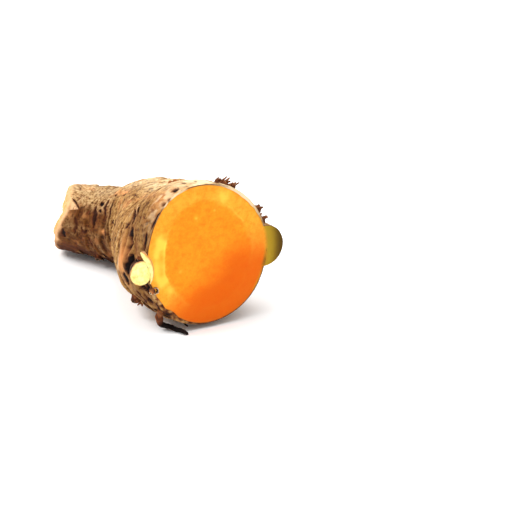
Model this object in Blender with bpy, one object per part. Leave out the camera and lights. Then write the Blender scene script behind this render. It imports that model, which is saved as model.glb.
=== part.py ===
"""Turmeric rhizome: one swollen ringed body, cut flat at one end and snapped off at the other.

Metres in the finished mesh, +Z up, +X the outward normal of the cut face.
The shape is worked out in millimetres and scaled to metres at the end.
The origin is the centre of the flat spot under the belly, on the table.
"""
import math
import random

import bpy
import numpy as np
from mathutils import Matrix, Vector

# Driving sizes, millimetres
CUT_FACE_X = 22.0
CUT_FACE_HALF_WIDTH = 16.8
CUT_FACE_HALF_HEIGHT = 17.8
STUB_HALF_WIDTH = 9.2
STUB_HALF_HEIGHT = 9.5
SPINE_START_X = 27.0
SPINE_END_X = -45.3
RING_RISE = 0.30
RING_DROP = 0.34
RING_EDGE_WIDTH = 0.6
SCALE_LIFT = 1.3
SCALE_LIFT_DEGREES = 178.0
SCALE_LIFT_SPREAD = 9.5
BREAK_SLANT = 2.8
BREAK_TILT = 1.7
BREAK_DOME = 0.8
CORNER_RISE = 1.2
CORNER_DEGREES = 122.0
CORNER_SPREAD = 24.0
ROOT_STUB_RADIUS = 0.85
ROOTLET_RADIUS = 0.42
COLUMNS = 48
MM = 0.001

# The middle line of the root from the cut end to the stub:
# x, y, height above the table, half width, half height
SPINE = np.array([
    [28.0, -1.8, 19.8, CUT_FACE_HALF_WIDTH - 0.8, CUT_FACE_HALF_HEIGHT - 0.6],
    [22.0, -1.6, 19.2, CUT_FACE_HALF_WIDTH, CUT_FACE_HALF_HEIGHT],
    [14.0, -1.3, 17.4, 17.4, 17.5],
    [6.0, -0.3, 15.7, 16.6, 16.4],
    [-2.0, 1.2, 15.3, 14.8, 15.9],
    [-10.0, 3.0, 14.1, 12.8, 14.2],
    [-18.0, 3.8, 12.85, 11.0, 12.25],
    [-24.0, 3.0, 11.2, 10.3, 10.6],
    [-30.0, 0.8, 10.5, 9.8, 9.9],
    [-36.0, -2.2, 10.3, STUB_HALF_WIDTH + 0.3, STUB_HALF_HEIGHT + 0.2],
    [-42.0, -5.6, 10.4, STUB_HALF_WIDTH, STUB_HALF_HEIGHT],
    [-48.0, -9.0, 10.5, STUB_HALF_WIDTH - 0.3, STUB_HALF_HEIGHT - 0.2],
])

# Where each leaf scale was attached: x along the spine, and how strong its edge is
RINGS = [(20.2, 0.5), (15.7, 1.5), (12.2, 1.2), (7.8, 0.8), (3.8, 1.1), (0.0, 0.7),
         (-4.0, 1.1), (-7.8, 0.8), (-11.4, 1.0), (-15.0, 0.8), (-18.5, 1.1), (-21.6, 0.8),
         (-24.6, 1.0), (-27.7, 1.3), (-30.9, 0.9), (-34.5, 1.2), (-38.4, 0.7)]
LIFTED_RING_X = 15.7

# Side buds: points along the bud as x, y, z, radius; the cut end comes first
NEAR_BUD = [(25.0, -21.0, 18.4, 2.6), (22.0, -19.6, 17.6, 3.0), (19.4, -18.3, 16.9, 3.2),
            (16.6, -16.9, 16.3, 3.1), (14.2, -15.6, 15.8, 2.7), (12.4, -14.6, 15.4, 1.7)]
FAR_BUD = [(26.0, 15.4, 18.8, 4.9), (22.0, 14.8, 18.4, 5.2), (18.5, 14.0, 18.0, 5.9),
           (14.5, 12.8, 17.4, 6.0), (11.0, 11.4, 17.0, 4.8), (8.6, 10.2, 16.8, 2.6)]
RESTING_BUD = [(-9.6, 18.0, 15.4, 0.8), (-8.0, 17.0, 15.2, 2.0), (-6.0, 14.6, 14.8, 2.9),
               (-3.5, 11.6, 14.4, 2.4)]

# Broken root stubs: x along the spine, angle round it in degrees (180 is the
# near side, 90 the top), length, radius as a share of the usual one
ROOT_STUBS = [
    (21.4, 202.5, 0.5, 0.7),
    (20.2, 176.0, 0.9, 0.8),
    (8.2, 220.0, 1.2, 1.3),
    (4.0, 240.0, 0.9, 1.0),
    (19.6, 63.0, 1.3, 0.8),
    (18.8, 54.0, 2.0, 0.9),
    (-13.2, 205.0, 0.9, 0.9),
    (-33.0, 232.0, 0.9, 0.9),
]
HIDDEN_STUB_COUNT = 9
HIDDEN_STUB_SEED = 11

# Longer rootlets: points along each one as x, y, z, share of the usual radius
ROOTLETS = [
    [(18.4, -10.6, 8.6, 2.3), (18.6, -13.2, 5.4, 2.2), (17.4, -13.2, 3.0, 1.9),
     (17.4, -11.6, 1.1, 1.5), (19.6, -9.9, 0.65, 1.3), (22.2, -8.9, 0.55, 1.1),
     (24.0, -8.3, 0.45, 0.7)],
    [(19.8, -6.6, 4.2, 1.0), (20.8, -7.6, 2.4, 0.6), (21.7, -6.9, 1.3, 0.45)],
    [(-26.0, 9.6, 6.0, 1.4), (-26.6, 12.2, 4.4, 1.2), (-27.6, 13.6, 2.2, 1.0),
     (-30.0, 14.6, 0.8, 0.8)],
]


def spine_at(x):
    """Interpolate the spine table at the given x values: y, z, half width, half height."""
    table = SPINE[::-1]
    knots = table[:, 0]
    values = table[:, 1:]
    slopes = np.gradient(values, knots, axis=0)
    x = np.atleast_1d(np.asarray(x, dtype=float))
    index = np.clip(np.searchsorted(knots, x) - 1, 0, len(knots) - 2)
    span = (knots[index + 1] - knots[index])[:, None]
    f = (x - knots[index])[:, None] / span
    start = values[index] * (1 + 2 * f) * (1 - f) ** 2 + slopes[index] * span * f * (1 - f) ** 2
    end = values[index + 1] * f ** 2 * (3 - 2 * f) + slopes[index + 1] * span * f ** 2 * (f - 1)
    return start + end


def spine_frame(x):
    """Centre, sideways and upward directions and half sizes of the section at each x."""
    here = spine_at(x)
    ahead = spine_at(np.asarray(x) - 0.05)
    centre = np.column_stack([x, here[:, :2]])
    step = np.column_stack([np.full(len(here), -0.05), ahead[:, :2] - here[:, :2]])
    tangent = step / np.linalg.norm(step, axis=1)[:, None]
    side = np.cross(tangent, [0.0, 0.0, 1.0])
    side /= np.linalg.norm(side, axis=1)[:, None]
    up = np.cross(side, tangent)
    return centre, tangent, side, up, here[:, 2], here[:, 3]


def ring_shift(x, angle):
    """How far along the spine a ring line strays at this angle."""
    wander = 0.6 * np.sin(angle + 0.13 * x) + 0.35 * np.sin(3 * angle - 0.21 * x + 1.0)
    share = np.clip((-28.0 - x) / 14.0, 0.0, 1.0)
    slant = BREAK_TILT * np.sin(angle) - BREAK_SLANT * np.cos(angle)
    return wander * (1 - share) + slant * share


def lumps(x, angle):
    """Slow uneven swellings of the body, and the fuller upper corner beside the cut face."""
    swelling = (0.40 * np.sin(2 * angle + 0.9 + 0.11 * x)
                + 0.28 * np.sin(3 * angle - 0.7 - 0.17 * x)
                + 0.20 * np.sin(5 * angle + 0.31 * x))
    corner = np.exp(-((np.degrees(angle) - CORNER_DEGREES) / CORNER_SPREAD) ** 2)
    near_cut = np.clip((x - 10.0) / 9.0, 0.0, 1.0)
    near_cut = near_cut * near_cut * (3 - 2 * near_cut)
    return swelling * np.clip((20.0 - x) / 10.0, 0.25, 1.0) + CORNER_RISE * corner * near_cut


def ring_height(x, rise, angle):
    """The ring height varied round the root, with one scale lifted beside the near bud."""
    height = rise * (0.85 + 0.35 * np.sin(2 * angle + 1.7 * x))
    if x == LIFTED_RING_X:
        off_middle = (np.degrees(angle) - SCALE_LIFT_DEGREES) / SCALE_LIFT_SPREAD
        height = height + SCALE_LIFT * np.exp(-off_middle ** 2)
    return height


def skin_point(x, angle, rise):
    """Points of the skin for matching arrays of x along the spine, angle and ring height."""
    along = x + ring_shift(x, angle)
    centre, _, side, up, half_width, half_height = spine_frame(along)
    grow = rise + lumps(x, angle)
    wide = (half_width + grow) * np.cos(angle)
    high = (half_height + grow) * np.sin(angle)
    points = centre + side * wide[:, None] + up * high[:, None]
    points[:, 2] = np.maximum(points[:, 2], 0.0)
    return points


def ring_rows():
    """Rows of the body: the foot and the edge of each scale, and a row between rings."""
    rows = [(SPINE_START_X, 0.0)]
    ends = [x for x, _ in RINGS[1:]] + [SPINE_END_X]
    for (x, strength), following in zip(RINGS, ends):
        rows.append((x + RING_EDGE_WIDTH, -RING_DROP * strength))
        rows.append((x, RING_RISE * strength))
        rows.append((0.5 * (x + following), -0.05))
    rows.append((SPINE_END_X + 0.6, 0.1))
    rows.append((SPINE_END_X, -0.35))
    return rows


def make_mesh_object(name, points, faces):
    """A new object in the scene from points in millimetres and faces."""
    mesh = bpy.data.meshes.new(name)
    mesh.from_pydata([tuple(point) for point in points], [], faces)
    mesh.validate()
    item = bpy.data.objects.new(name, mesh)
    bpy.context.scene.collection.objects.link(item)
    return item


def band_faces(rows, columns):
    """Quads between neighbouring rows of a closed tube."""
    faces = []
    for row in range(rows - 1):
        for column in range(columns):
            following = (column + 1) % columns
            faces.append((row * columns + column, (row + 1) * columns + column,
                          (row + 1) * columns + following, row * columns + following))
    return faces


def make_body():
    """The ringed body from past the cut face to the snapped stub end."""
    angles = np.arange(COLUMNS) * 2 * math.pi / COLUMNS
    rows = [skin_point(np.full(COLUMNS, x), angles, ring_height(x, rise, angles))
            for x, rise in ring_rows()]
    centre, tangent, _, _, _, _ = spine_frame(np.array([SPINE_END_X]))
    rim = rows[-1]
    for share, height in ((0.84, 0.55), (0.56, 0.85), (0.26, 1.0)):
        tear = 0.5 * np.sin(3 * angles + 5 * share) + 0.35 * np.sin(7 * angles - 3 * share)
        lift = (BREAK_DOME * height + tear * share)[:, None]
        rows.append(centre + (rim - centre) * share + tangent * lift)
    points = np.vstack(rows + [centre + tangent * BREAK_DOME, spine_frame([SPINE_START_X])[0]])
    faces = band_faces(len(rows), COLUMNS)
    tip = len(points) - 2
    start = len(points) - 1
    last = (len(rows) - 1) * COLUMNS
    for column in range(COLUMNS):
        following = (column + 1) % COLUMNS
        faces.append((last + following, last + column, tip))
        faces.append((column, following, start))
    return make_mesh_object("turmeric_rhizome", points, faces)


def make_tube(name, path, sides):
    """A tapering tube with blunt pointed ends through points given as x, y, z, radius."""
    knots = np.array(path, dtype=float)
    centres = knots[:, :3]
    directions = np.gradient(centres, axis=0)
    directions /= np.linalg.norm(directions, axis=1)[:, None]
    angles = np.arange(sides) * 2 * math.pi / sides
    across = np.cross(directions[0], [0.3, 0.1, 1.0])
    points = []
    for centre, direction, radius in zip(centres, directions, knots[:, 3]):
        across = across - direction * np.dot(across, direction)
        across /= np.linalg.norm(across)
        upward = np.cross(across, direction)
        for angle in angles:
            spoke = across * math.cos(angle) + upward * math.sin(angle)
            points.append(centre + spoke * radius)
    points.append(centres[0] - directions[0] * knots[0, 3] * 0.5)
    points.append(centres[-1] + directions[-1] * knots[-1, 3] * 0.35)
    faces = band_faces(len(path), sides)
    last = (len(path) - 1) * sides
    for column in range(sides):
        following = (column + 1) % sides
        faces.append((column, following, len(points) - 2))
        faces.append((last + following, last + column, len(points) - 1))
    return make_mesh_object(name, points, faces)


def root_stub_path(x, degrees, length, share):
    """A broken root stub standing on the skin and sunk well into the flesh."""
    angle = np.array([math.radians(degrees)])
    outer = skin_point(np.array([x]), angle, np.array([0.0]))[0]
    centre = spine_frame(np.array([x]))[0][0]
    outward = (outer - centre) / np.linalg.norm(outer - centre)
    lean = np.array([0.25, 0.0, -0.15])
    radius = ROOT_STUB_RADIUS * share
    return [
        (*(outer - outward * 3.0), radius * 1.5),
        (*(outer - outward * 0.3), radius * 1.35),
        (*(outer + (outward + lean) * length * 0.55), radius),
        (*(outer + (outward + lean) * length), radius * 0.85),
    ]


def hidden_stubs():
    """Seeded root stubs on the underside flanks and the far side."""
    rng = random.Random(HIDDEN_STUB_SEED)
    stubs = []
    for count in range(HIDDEN_STUB_COUNT):
        x = 16.0 - 5.6 * count + rng.uniform(-1.2, 1.2)
        degrees = rng.uniform(-48.0, 32.0)
        stubs.append((x, degrees, rng.uniform(0.9, 1.9), rng.uniform(0.8, 1.2)))
    return stubs


def combine(target, others, operation):
    """Apply one Boolean with a collection of objects, then remove those objects."""
    group = bpy.data.collections.new("joined_in")
    for item in others:
        bpy.context.scene.collection.objects.unlink(item)
        group.objects.link(item)
    bpy.context.scene.collection.children.link(group)
    change = target.modifiers.new("combine", "BOOLEAN")
    change.operation = operation
    change.operand_type = "COLLECTION"
    change.collection = group
    change.solver = "EXACT"
    bpy.context.view_layer.update()
    graph = bpy.context.evaluated_depsgraph_get()
    result = bpy.data.meshes.new_from_object(target.evaluated_get(graph))
    target.modifiers.clear()
    target.data = result
    for item in others:
        bpy.data.objects.remove(item)
    bpy.data.collections.remove(group)


def make_knife_block():
    """The block of space in front of the cut face."""
    low = Vector((CUT_FACE_X, -60.0, -20.0))
    size = Vector((30.0, 120.0, 80.0))
    points = [low + Vector((size.x * a, size.y * b, size.z * c))
              for a in (0, 1) for b in (0, 1) for c in (0, 1)]
    faces = [(0, 1, 3, 2), (4, 6, 7, 5), (0, 4, 5, 1), (2, 3, 7, 6), (0, 2, 6, 4), (1, 5, 7, 3)]
    return make_mesh_object("knife_block", points, faces)


def make_material():
    """Dry brown root skin."""
    material = bpy.data.materials.new("turmeric_root")
    material.use_nodes = True
    surface = material.node_tree.nodes["Principled BSDF"]
    surface.inputs["Base Color"].default_value = (0.42, 0.27, 0.13, 1.0)
    surface.inputs["Roughness"].default_value = 0.8
    return material


def build():
    """Make the rhizome as one closed object in metres."""
    for item in list(bpy.data.objects):
        bpy.data.objects.remove(item)
    body = make_body()
    grown = [make_tube("near_bud", NEAR_BUD, 16),
             make_tube("far_bud", FAR_BUD, 18),
             make_tube("resting_bud", RESTING_BUD, 12)]
    for index, stub in enumerate(ROOT_STUBS + hidden_stubs()):
        grown.append(make_tube(f"root_stub_{index}", root_stub_path(*stub), 7))
    combine(body, grown, "UNION")
    combine(body, [make_knife_block()], "DIFFERENCE")
    rootlets = []
    for index, path in enumerate(ROOTLETS):
        scaled = [(x, y, z, share * ROOTLET_RADIUS) for x, y, z, share in path]
        rootlets.append(make_tube(f"rootlet_{index}", scaled, 6))
    combine(body, rootlets, "UNION")
    body.data.transform(Matrix.Scale(MM, 4))
    body.data.shade_smooth()
    body.data.set_sharp_from_angle(angle=math.radians(38.0))
    body.data.materials.clear()
    body.data.materials.append(make_material())
    body.name = "turmeric_rhizome"


build()
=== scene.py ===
import math
import random

import bpy
import numpy as np
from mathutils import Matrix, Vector


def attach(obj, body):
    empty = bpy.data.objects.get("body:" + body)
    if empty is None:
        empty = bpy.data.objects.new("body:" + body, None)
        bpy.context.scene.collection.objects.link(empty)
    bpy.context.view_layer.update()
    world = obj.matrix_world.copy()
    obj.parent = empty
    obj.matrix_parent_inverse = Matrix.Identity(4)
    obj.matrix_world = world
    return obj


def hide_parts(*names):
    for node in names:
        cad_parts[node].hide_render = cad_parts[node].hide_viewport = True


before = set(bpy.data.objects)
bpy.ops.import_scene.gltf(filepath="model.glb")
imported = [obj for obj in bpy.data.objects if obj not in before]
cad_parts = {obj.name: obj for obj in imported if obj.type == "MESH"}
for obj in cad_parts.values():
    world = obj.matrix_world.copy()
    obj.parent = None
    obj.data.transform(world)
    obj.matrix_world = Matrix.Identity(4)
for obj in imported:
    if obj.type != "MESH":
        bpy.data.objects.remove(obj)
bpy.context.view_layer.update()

NODE = "turmeric_rhizome"
MM = 0.001

# The root's form, in millimetres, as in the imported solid
CUT_X = 22.0
STUB_END_X = -45.3
RING_RISE = 0.30
RING_DROP = 0.34
RING_EDGE_WIDTH = 0.6
BREAK_SLANT = 2.8
BREAK_TILT = 1.7
BREAK_DOME = 0.8
CORNER_RISE = 1.2
CORNER_DEGREES = 122.0
CORNER_SPREAD = 24.0
SCALE_LIFT = 1.3
SCALE_LIFT_DEGREES = 178.0
SCALE_LIFT_SPREAD = 9.5
LIFTED_RING = 1
# Where the broken rim is worn back or juts out: degrees round it, millimetres, spread
BREAK_DENTS = [(150.0, 1.7, 28.0), (206.0, -0.35, 18.0)]

# Slight dips and rises along the back: x, reach, degrees, spread, millimetres
BACK_TRIMS = [(-3.5, 6.0, 95.0, 24.0, -0.65), (-22.0, 3.0, 104.0, 18.0, 0.45)]

# x, y, height above the table, half width, half height
SPINE = np.array([
    [28.0, -1.8, 19.8, 16.0, 17.2],
    [22.0, -1.6, 19.2, 16.8, 17.8],
    [14.0, -1.3, 17.4, 17.4, 17.5],
    [6.0, -0.3, 15.7, 16.6, 16.4],
    [-2.0, 1.2, 15.3, 14.8, 15.9],
    [-10.0, 3.0, 14.1, 12.8, 14.2],
    [-18.0, 3.8, 12.85, 11.0, 12.25],
    [-24.0, 3.0, 11.2, 10.3, 10.6],
    [-30.0, 0.8, 10.5, 9.8, 9.9],
    [-36.0, -2.2, 10.3, 9.5, 9.7],
    [-42.0, -5.6, 10.4, 9.2, 9.5],
    [-48.0, -9.0, 10.5, 8.9, 9.3],
])

# Where each leaf scale was attached: x along the spine, and how strong its edge is
RINGS = [(20.2, 0.5), (15.7, 1.5), (12.2, 1.2), (7.8, 0.8), (3.8, 1.1), (0.0, 0.7),
         (-4.0, 1.1), (-7.8, 0.8), (-11.4, 1.0), (-15.0, 0.8), (-18.5, 1.1), (-21.6, 0.8),
         (-24.6, 1.0), (-27.7, 1.3), (-30.9, 0.9), (-34.5, 1.2), (-38.4, 0.7)]

# Side buds, cut end first: x, y, height, radius
NEAR_BUD = np.array([[22.0, -19.6, 17.6, 3.05], [19.4, -18.3, 16.9, 3.2], [16.6, -16.9, 16.3, 3.1],
                     [14.2, -15.6, 15.8, 2.7], [12.4, -14.6, 15.4, 1.7], [11.8, -14.2, 15.2, 0.3]])
FAR_BUD = np.array([[22.0, 14.8, 18.4, 5.25], [18.5, 14.0, 18.0, 5.9], [14.5, 12.8, 17.4, 6.0],
                    [11.0, 11.4, 17.0, 4.8], [8.6, 10.2, 16.8, 2.6], [7.6, 9.8, 16.7, 0.3]])
RESTING_BUD = [(-10.4, 18.4, 15.5, 0.15), (-9.6, 18.0, 15.4, 0.9), (-8.0, 17.0, 15.2, 2.0),
               (-6.0, 14.6, 14.8, 2.9), (-3.5, 11.6, 14.4, 2.4)]

# The pale sheath beside the near bud, in the plane of the cut: y, height, half width
SHEATH = [(-20.0, 23.3, 0.12), (-19.1, 22.2, 0.62), (-17.9, 20.6, 0.78), (-17.05, 18.7, 0.66),
          (-16.75, 16.9, 0.48), (-17.0, 15.3, 0.28), (-17.5, 14.4, 0.08)]
SHEATH_DEPTH = 4.5

# Paler patches on the cut face: y, height, size, strength
PALE_PATCHES = [(3.1, 33.2, 1.7, 0.60), (-14.5, 25.7, 0.8, 0.60), (-12.1, 11.7, 1.1, 0.55),
                (-4.5, 29.0, 0.35, 0.5), (0.6, 30.2, 0.3, 0.5), (-9.0, 16.0, 0.4, 0.3)]

# Cracks darkened by painted shade: points as x along the spine and degrees round it, then width, depth,
# and darkness of the shade
CRACKS = [
    ([(11.6, 138), (12.6, 141), (14.8, 144), (14.6, 147), (13.9, 149)], 0.42, 0.9, 1.4),
    ([(14.9, 151), (15.3, 154), (15.7, 158), (17.0, 163), (17.2, 166)], 0.34, 0.8, 1.3),
    ([(16.6, 165), (15.8, 168), (16.2, 171)], 0.30, 0.7, 1.2),
    ([(17.3, 173), (16.8, 177), (15.7, 184), (14.9, 189)], 0.34, 1.2, 1.6),
    ([(9.3, 135), (12.6, 138), (16.3, 142)], 0.20, 0.5, 0.8),
    ([(14.2, 134), (15.6, 138), (16.4, 142)], 0.24, 0.6, 0.9),
    ([(5.0, 146), (7.4, 142)], 0.26, 0.5, 0.9),
    ([(22.5, 154), (22.5, 160), (22.2, 168)], 0.24, 0.7, 1.5),
    ([(24.2, 137), (24.0, 143), (23.5, 151)], 0.28, 0.35, 1.4),
    ([(13.3, 190), (12.4, 195), (12.0, 200)], 0.52, 1.0, 1.7),
    ([(16.6, 199), (18.6, 201), (19.8, 204)], 0.50, 1.0, 1.6),
    ([(19.4, 198.5), (20.7, 199.5), (21.6, 198.5)], 0.75, 1.2, 1.8),
    ([(20.6, 207), (21.2, 211)], 0.45, 0.9, 1.2),
    ([(17.2, 211), (16.4, 216)], 0.45, 0.8, 1.2),
    ([(18.2, 222), (17.4, 229), (18.4, 236)], 0.80, 1.2, 1.7),
    ([(18.8, 214), (19.4, 222), (19.2, 231), (19.5, 240), (19.8, 248)], 0.48, 0.9, 1.7),
    ([(14.2, 230), (15.4, 236), (17.0, 241)], 0.60, 0.9, 1.6),
    ([(15.2, 204), (15.0, 207)], 0.40, 0.7, 1.4),
    ([(14.6, 205), (15.2, 212), (14.2, 222)], 0.34, 0.6, 0.9),
    ([(-36.0, 172), (-35.2, 177), (-34.4, 178), (-33.8, 175)], 0.40, 0.35, 0.80),
    ([(-33.2, 184), (-32.4, 194), (-31.8, 203)], 0.34, 0.40, 0.80),
    ([(-25.6, 167), (-24.6, 174), (-25.2, 182)], 0.46, 0.60, 1.20),
    ([(-43.0, 180), (-42.7, 190), (-42.5, 197)], 0.45, 0.40, 1.00),
    ([(-30.2, 128), (-29.4, 134)], 0.50, 0.50, 1.20),
    ([(-29.6, 139), (-29.0, 144)], 0.42, 0.45, 1.10),
    ([(-32.0, 136), (-31.0, 150), (-30.6, 168)], 0.55, 0.45, 0.90),
    ([(-24.0, 124), (-24.9, 138), (-23.6, 152), (-22.6, 164)], 0.30, 0.50, 0.90),
    ([(-27.2, 122), (-27.8, 136), (-26.8, 148)], 0.30, 0.45, 0.90),
    ([(-38.6, 158), (-38.0, 170), (-38.8, 184)], 0.40, 0.40, 0.70),
    ([(-20.2, 160), (-20.0, 165)], 0.40, 0.6, 1.3),
    ([(-16.6, 167), (-16.0, 170)], 0.28, 0.5, 1.1),
    ([(11.4, 150.5), (12.2, 153)], 0.44, 0.6, 1.3),
    ([(-3.0, 118), (3.6, 111), (7.0, 108), (12.0, 106)], 0.14, 0.2, 0.45),
    ([(1.0, 109), (6.0, 105), (10.0, 102)], 0.14, 0.2, 0.4),
    ([(13.8, 103), (14.8, 102), (15.2, 101)], 0.45, 0.6, 1.0),
    ([(22.7, 117.5), (22.9, 115.0), (22.8, 112.5)], 0.34, 0.5, 1.1),
    ([(-25.6, 113.5), (-23.0, 118.5)], 0.36, 0.5, 1.3),
    ([(-17.4, 126.5), (-15.0, 129)], 0.36, 0.5, 1.3),
    ([(-26.6, 108.5), (-26.0, 106.5)], 0.34, 0.5, 0.9),
    ([(-16.4, 114), (-13.4, 113.6), (-11.0, 112)], 0.16, 0.25, 0.7),
    ([(-5.3, 117), (-3.9, 106), (-3.2, 92)], 0.14, 0.22, 0.6),
    ([(17.3, 117), (18.2, 115), (19.0, 112)], 0.18, 0.3, 0.9),
    ([(-8.8, 110.5), (-8.0, 108.5)], 0.32, 0.4, 1.0),
    ([(-0.4, 91.5), (0.6, 88.5)], 0.45, 0.6, 1.4),
    ([(-42.6, 130), (-40.2, 138), (-37.8, 146)], 0.22, 0.5, 0.9),
    ([(0.6, 128), (1.8, 138), (1.2, 146)], 0.20, 0.4, 0.6),
    ([(-8.4, 150), (-9.4, 160), (-8.6, 171)], 0.22, 0.4, 0.6),
]

# The flap of skin peeled back beside the break: corners as x along the spine and degrees
PEELED = [(-42.9, 132.0), (-37.9, 146.0), (-42.2, 150.0)]

# A streak rubbed down to fresh orange skin, as x along the spine and degrees
FRESH_STREAK = [(-25.6, 109.0), (-20.3, 118.5), (-15.5, 125.5)]

# Pale corky bumps: x along the spine, degrees round it, radius
PALE_BUMPS = [(-26.4, 172.5, 0.9), (-21.6, 113.0, 0.9), (-6.0, 60.0, 0.9), (3.0, -20.0, 0.8),
              (-22.0, 30.0, 0.8)]

# Round root scars: x along the spine, degrees round it, radius
ROOT_SCARS = [(24.3, 124.5, 0.50), (23.9, 130.0, 0.62), (21.4, 103.0, 0.50), (10.2, 141.0, 0.55),
              (-13.7, 100.0, 0.7), (6.2, 160.0, 0.4), (-10.5, 144.0, 0.45), (-24.1, 133.0, 0.45),
              (-23.4, 125.0, 0.40),
              (-14.0, 40.0, 0.9), (2.0, 20.0, 0.9), (9.0, -30.0, 1.0), (-6.0, -55.0, 0.9),
              (-34.0, 20.0, 0.8), (13.0, 35.0, 0.8)]
SCATTERED_MARKS = 420
MARK_SEED = 5

# Lifted papery scales: x and degrees at both ends, width, lift
LIFTED_SCALES = [(14.0, 134.0, 15.4, 141.0, 0.9, 0.35)]
SCATTERED_SCALES = 26
# Scattered scales that would reach past this direction are left off, because the skin is worn there
SCALES_END_DEGREES = 98.0
SCALE_SEED = 9

# Broken root stubs: x along the spine, degrees round it, length, radius
ROOT_STUBS = [
    (21.4, 202.5, 0.5, 0.60), (20.2, 176.0, 0.9, 0.68), (8.2, 220.0, 1.2, 1.1),
    (4.0, 240.0, 0.9, 0.85), (19.6, 63.0, 1.3, 0.68), (18.8, 54.0, 2.0, 0.77),
    (-13.2, 205.0, 0.9, 0.77), (-33.0, 232.0, 0.9, 0.77),
]
HIDDEN_STUB_COUNT = 9
HIDDEN_STUB_SEED = 11

# A root in the rim that the knife cut through: x, y, height, radius
CUT_ROOT = [(20.6, -15.9, 12.5, 0.95), (21.7, -16.0, 12.45, 0.95), (22.45, -16.05, 12.4, 0.88)]

# Tufts of torn root fibre: x along the spine, degrees round it, number, length
TUFTS = [(19.4, 64.0, 8, 1.5), (18.6, 56.0, 11, 1.8), (21.0, 72.0, 4, 1.1), (20.8, 27.0, 11, 1.7),
         (20.8, 19.0, 11, 1.6), (14.5, 100.0, 3, 0.8), (8.9, 221.0, 5, 1.0), (17.2, 228.0, 5, 1.1)]

# Longer rootlets: points along each as x, y, z, radius
ROOTLETS = [
    [(18.4, -10.6, 8.6, 0.90), (18.6, -12.8, 5.4, 0.85), (17.8, -12.8, 3.0, 0.80),
     (17.6, -11.6, 1.2, 0.62), (19.6, -9.9, 0.75, 0.60), (22.2, -8.9, 0.65, 0.52),
     (24.0, -8.3, 0.45, 0.34)],
    [(19.8, -6.6, 4.2, 0.42), (20.8, -7.6, 2.4, 0.25), (21.7, -6.9, 1.3, 0.19)],
    [(-26.0, 9.6, 6.0, 0.59), (-26.6, 12.2, 4.4, 0.50), (-27.6, 13.6, 2.2, 0.42),
     (-30.0, 14.6, 0.8, 0.34)],
]

# Points round the skin and along it, and rings of points on the cut face and the torn end
SKIN_COLUMNS = 336
SKIN_ROWS = 284
FACE_RINGS = 78
STUB_RINGS = 46

# Radius of the even rod that patterns and distances on the skin are measured on
ROUND_RADIUS = 15.0

# Where the core of the cut ends, as a share of the way out to the skin
CORE_EDGE = 0.76

# The mark of the hollow tip of a root, past the shares from 0 to 1 along it
HOLLOW_MARK = 2.0

# Strength of the light from all round, and the spot in metres that both soft boxes point at
AMBIENT = 0.80
MIDDLE = (0.0, 0.0, 0.015)
TABLE_HALF_WIDTH = 6

# The camera: degrees off the cut face and up, metres away, the photograph's scale at the cut face,
# its width, and how many pixels its middle lies right of and below the middle of the cut face
CAMERA_TURN = 29.0
CAMERA_LIFT = 20.0
CAMERA_DISTANCE = 0.6
PIXELS_PER_METRE = 4110.0
PHOTO_PIXELS = 512.0
MIDDLE_RIGHT = 49.0
MIDDLE_BELOW = 2.0
SENSOR_WIDTH = 36.0


# Noise and form


def grain(points, size, seed):
    """Smooth noise from -1 to 1 in lumps about this many millimetres across."""
    place = np.asarray(points) / size + seed * 7.31
    cell = np.floor(place).astype(np.int64)
    part = place - cell
    part = part * part * (3 - 2 * part)
    total = 0.0
    # Large odd numbers mix the place of each corner into a value that looks random
    for corner in np.ndindex(2, 2, 2):
        spot = cell + np.array(corner)
        mixed = spot[..., 0] * 73856093 ^ spot[..., 1] * 19349663 ^ spot[..., 2] * 83492791
        mixed = (mixed ^ (mixed >> 13)) * 1274126177
        value = ((mixed ^ (mixed >> 16)) & 65535) / 32767.5 - 1.0
        weight = np.prod(np.where(np.array(corner) == 1, part, 1 - part), axis=-1)
        total = total + value * weight
    return total


def ease(value):
    """A smooth step from 0 to 1."""
    value = np.clip(value, 0.0, 1.0)
    return value * value * (3 - 2 * value)


def hump(value):
    """A bell that is 1 at zero and falls away on both sides."""
    return np.exp(-value * value)


def smooth_path(table, x):
    """Interpolate a table whose first column falls, at the given x values."""
    rising = table[::-1]
    knots = rising[:, 0]
    values = rising[:, 1:]
    slopes = np.gradient(values, knots, axis=0)
    x = np.atleast_1d(np.asarray(x, dtype=float))
    index = np.clip(np.searchsorted(knots, x) - 1, 0, len(knots) - 2)
    span = (knots[index + 1] - knots[index])[:, None]
    f = (x - knots[index])[:, None] / span
    start = values[index] * (1 + 2 * f) * (1 - f) ** 2 + slopes[index] * span * f * (1 - f) ** 2
    end = values[index + 1] * f ** 2 * (3 - 2 * f) + slopes[index + 1] * span * f ** 2 * (f - 1)
    return start + end


def unit_rows(ways):
    """Directions of length 1 from rows of steps."""
    return ways / np.linalg.norm(ways, axis=1)[:, None]


def even_turn(count):
    """Angles spaced evenly round a circle."""
    return np.arange(count) * 2 * math.pi / count


def spine_frame(x):
    """Centre, direction, sideways, upward and half sizes of the section at each x."""
    here = smooth_path(SPINE, x)
    ahead = smooth_path(SPINE, np.asarray(x) - 0.05)
    centre = np.column_stack([x, here[:, :2]])
    step = np.column_stack([np.full(len(here), -0.05), ahead[:, :2] - here[:, :2]])
    tangent = unit_rows(step)
    side = unit_rows(np.cross(tangent, [0.0, 0.0, 1.0]))
    up = np.cross(side, tangent)
    return centre, tangent, side, up, here[:, 2], here[:, 3]


def ring_shift(x, angle):
    """How far along the spine a ring line strays at this angle."""
    wander = 0.6 * np.sin(angle + 0.13 * x) + 0.35 * np.sin(3 * angle - 0.21 * x + 1.0)
    share = np.clip((-28.0 - x) / 14.0, 0.0, 1.0)
    slant = BREAK_TILT * np.sin(angle) - BREAK_SLANT * np.cos(angle)
    return wander * (1 - share) + slant * share


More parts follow.
